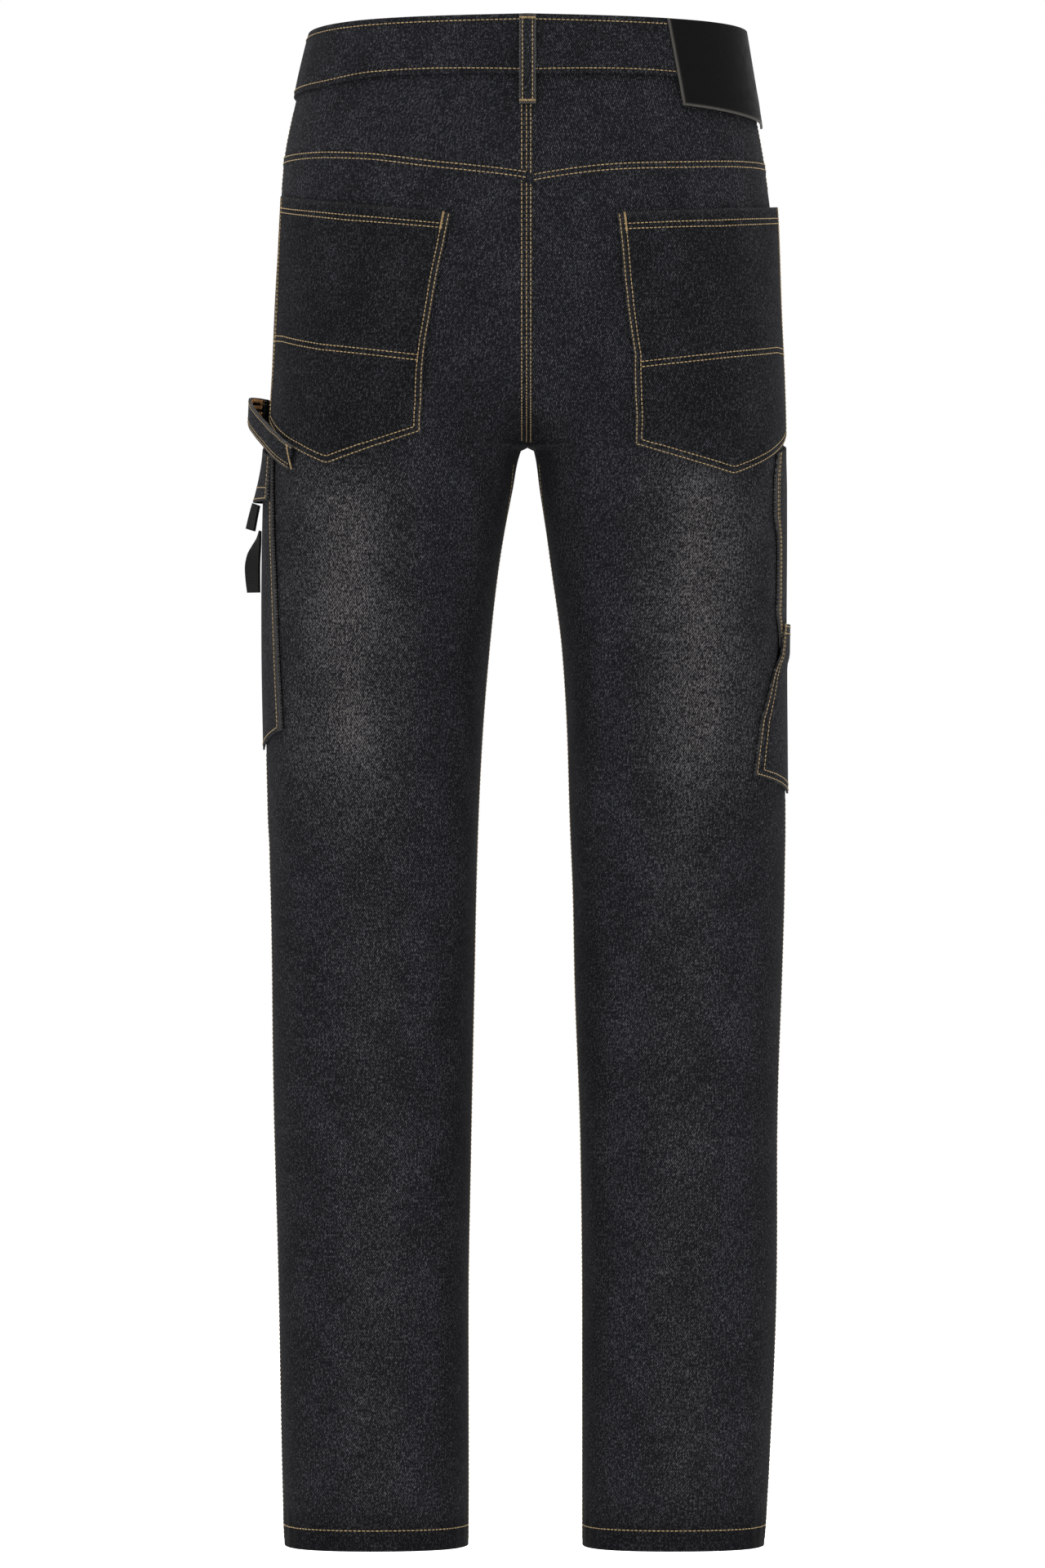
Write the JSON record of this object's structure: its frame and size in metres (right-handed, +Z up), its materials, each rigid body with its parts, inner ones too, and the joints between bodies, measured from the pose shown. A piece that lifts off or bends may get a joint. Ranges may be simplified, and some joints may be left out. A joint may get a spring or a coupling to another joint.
{
  "type": "work jeans",
  "caption": "Straight-leg work jeans with back pockets, a hammer loop, a flapped side pocket and stacked tool pockets, filled out as worn.",
  "frame": {"origin": "middle of the waist opening, level with its edge at the centre back, where the wearer's waist holds the jeans up", "axes": "+Z up through the waist opening, +X to the wearer's right, +Y to the wearer's front, so the back faces -Y"},
  "size_m": [0.4004, 0.27, 1.1141],
  "materials": {
    "denim": "washed black denim, matte",
    "leather": "black leather, soft sheen",
    "webbing": "black webbing, matte",
    "brass": "antique brass"
  },
  "bodies": {
    "root": {"back_left": "denim", "back_right": "denim", "front_left": "denim", "front_right": "denim", "yoke_left": "denim", "yoke_right": "denim", "waistband": "denim", "front_pocket_facing_left": "denim", "front_pocket_facing_right": "denim", "fly_shield": "denim", "back_pocket_left": "denim", "back_pocket_right": "denim", "cargo_pocket": "denim", "cargo_flap": "denim", "ruler_pocket": "denim", "tool_pocket": "denim", "hammer_loop": "denim", "belt_loop_centre_back": "denim", "belt_loop_side_left": "denim", "belt_loop_side_right": "denim", "belt_loop_front_left": "denim", "belt_loop_front_right": "denim", "waist_patch": "leather", "waist_button": "brass", "flap_tab": "webbing", "side_strap": "webbing"}
  },
  "joints": []
}
